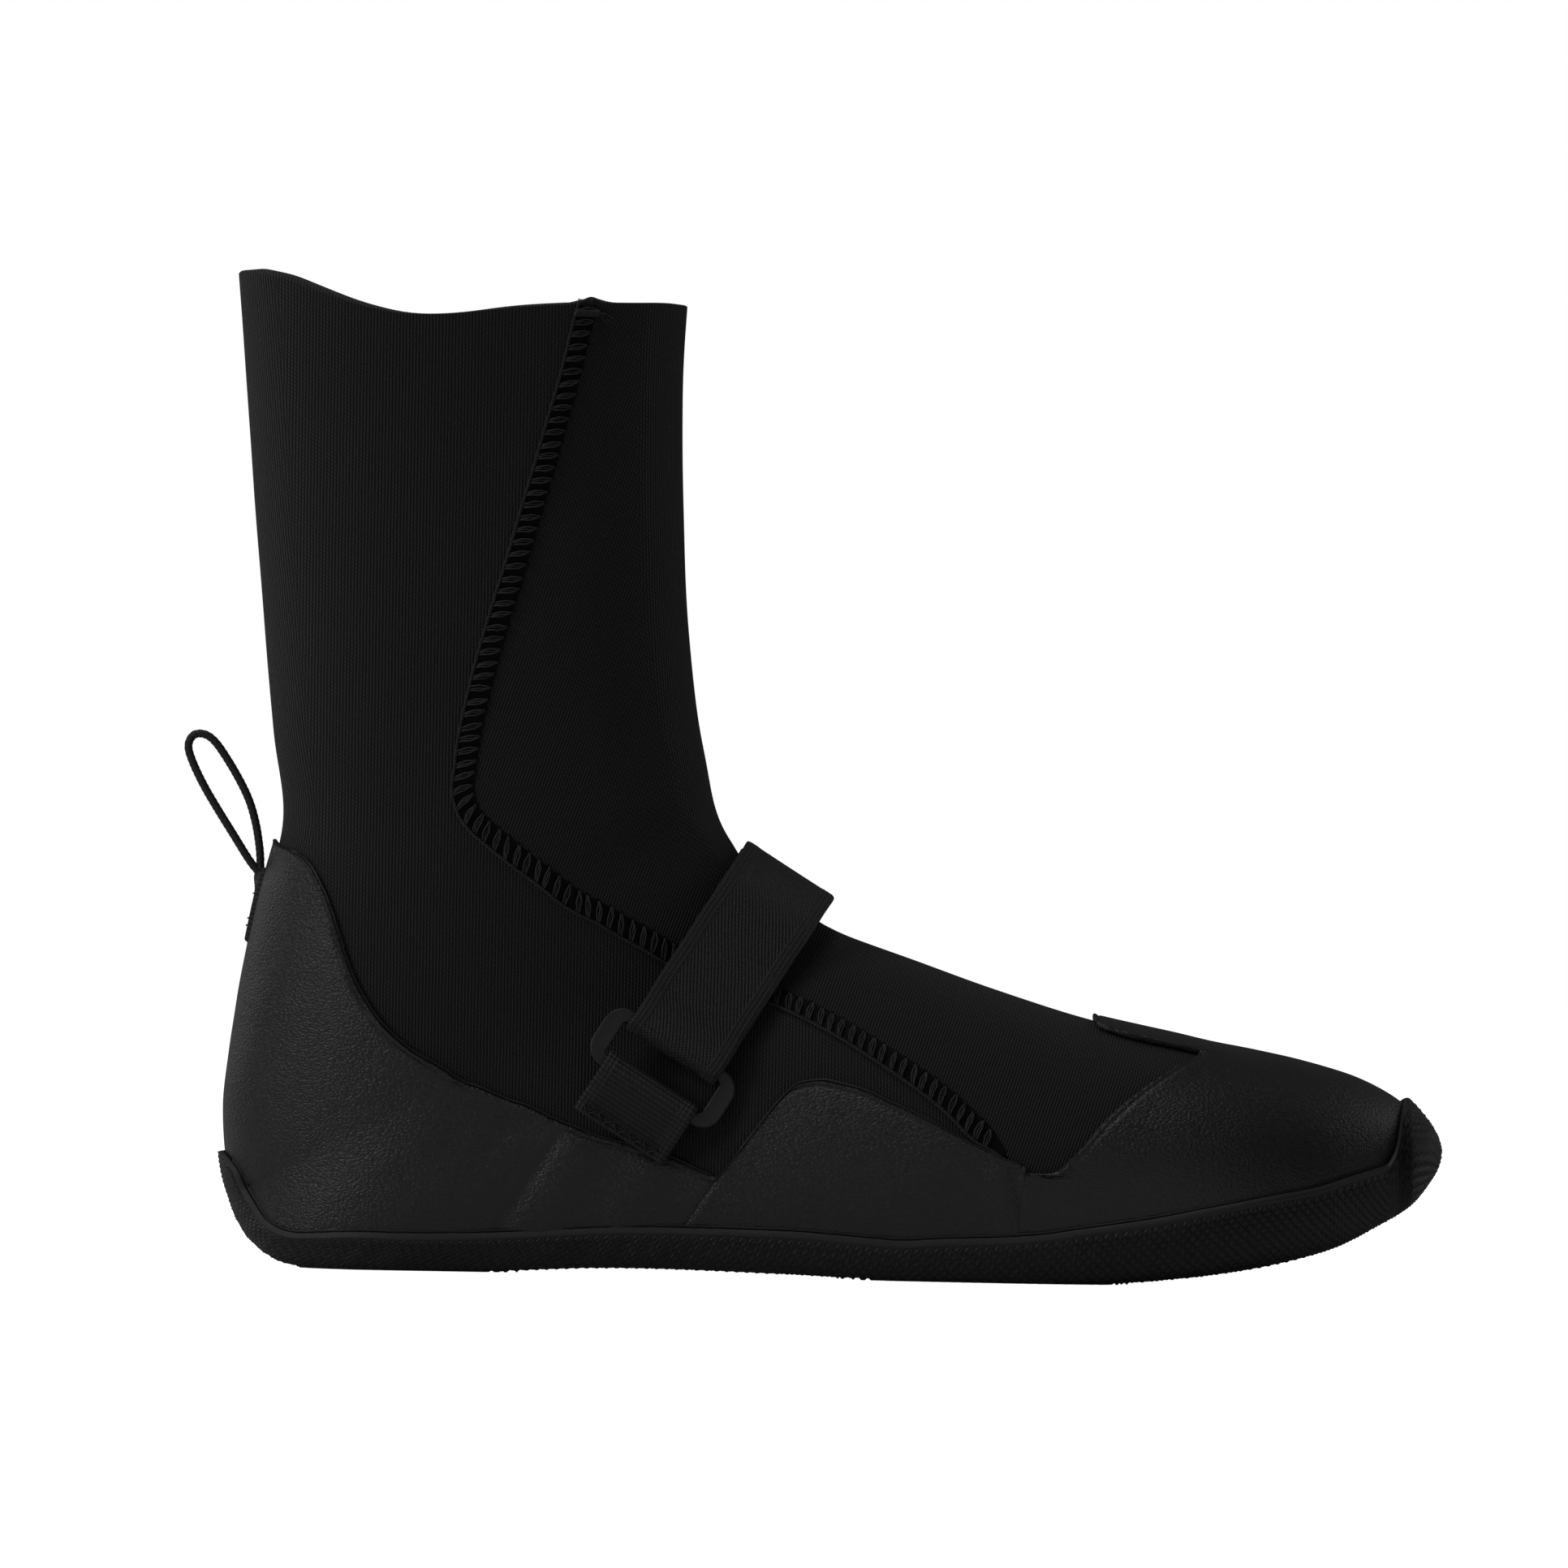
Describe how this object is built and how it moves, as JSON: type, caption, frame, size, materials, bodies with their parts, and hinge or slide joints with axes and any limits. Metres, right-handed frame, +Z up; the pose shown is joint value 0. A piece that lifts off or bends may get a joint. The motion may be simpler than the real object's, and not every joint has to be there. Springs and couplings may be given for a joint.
{
  "type": "water boot",
  "caption": "Right neoprene water boot with a grained overlay shell, rubber outsole, instep strap with ring and heel pull loop.",
  "frame": {"origin": "on the ground under the ball of the foot, in the middle plane of the leg", "axes": "+X from heel to toe, +Y to the inner side of the foot, +Z up the leg"},
  "size_m": [0.3052, 0.1021, 0.2387],
  "materials": {
    "neoprene_leg": "matte",
    "neoprene_front": "matte",
    "neoprene_bottom": "matte",
    "overlay": "satin",
    "outsole": "matte",
    "thread": "satin",
    "webbing": "satin",
    "hook_and_loop": "matte",
    "ring": "matte",
    "cord": "matte"
  },
  "bodies": {
    "boot": {"rear_panel": "neoprene_leg", "front_panel": "neoprene_front", "bottom_panel": "neoprene_bottom", "heel_overlay": "overlay", "lateral_overlay": "overlay", "medial_overlay": "overlay", "toe_cap": "overlay", "outsole": "outsole", "flatlock_lateral": "thread", "flatlock_medial": "thread", "bar_tack_lateral": "thread", "bar_tack_medial": "thread", "base_webbing": "webbing", "base_stitching": "thread", "strap_under": "webbing", "loop_patch": "hook_and_loop", "anchor_stitching": "thread", "pull_tab": "webbing", "tab_stitching": "thread"},
    "ring": {"ring": "ring", "strap_fold": "webbing"},
    "strap": {"strap_top": "webbing", "hook_patch": "hook_and_loop"},
    "pull_loop": {"pull_loop": "cord"}
  },
  "joints": [
    {"name": "ring_tilt", "type": "hinge", "parent": "boot", "child": "ring", "pos_m": [-0.08189, -0.04314, 0.04439], "axis": [0.848, 0, -0.5299], "range_deg": [0, 20]},
    {"name": "strap_peel", "type": "hinge", "parent": "ring", "child": "strap", "pos_m": [-0.07514, -0.04301, 0.0552], "axis": [0.848, 0, -0.5299], "range_deg": [0, 95]},
    {"name": "pull_loop_swing", "type": "hinge", "parent": "boot", "child": "pull_loop", "pos_m": [-0.17683, 0, 0.09546], "axis": [0, 1, 0], "range_deg": [-45, 18], "stiffness_Nm_per_rad": 0.002}
  ],
  "couplings": [
    {"joint": "ring_tilt", "follows": "strap_peel", "ratio": 0.2}
  ]
}
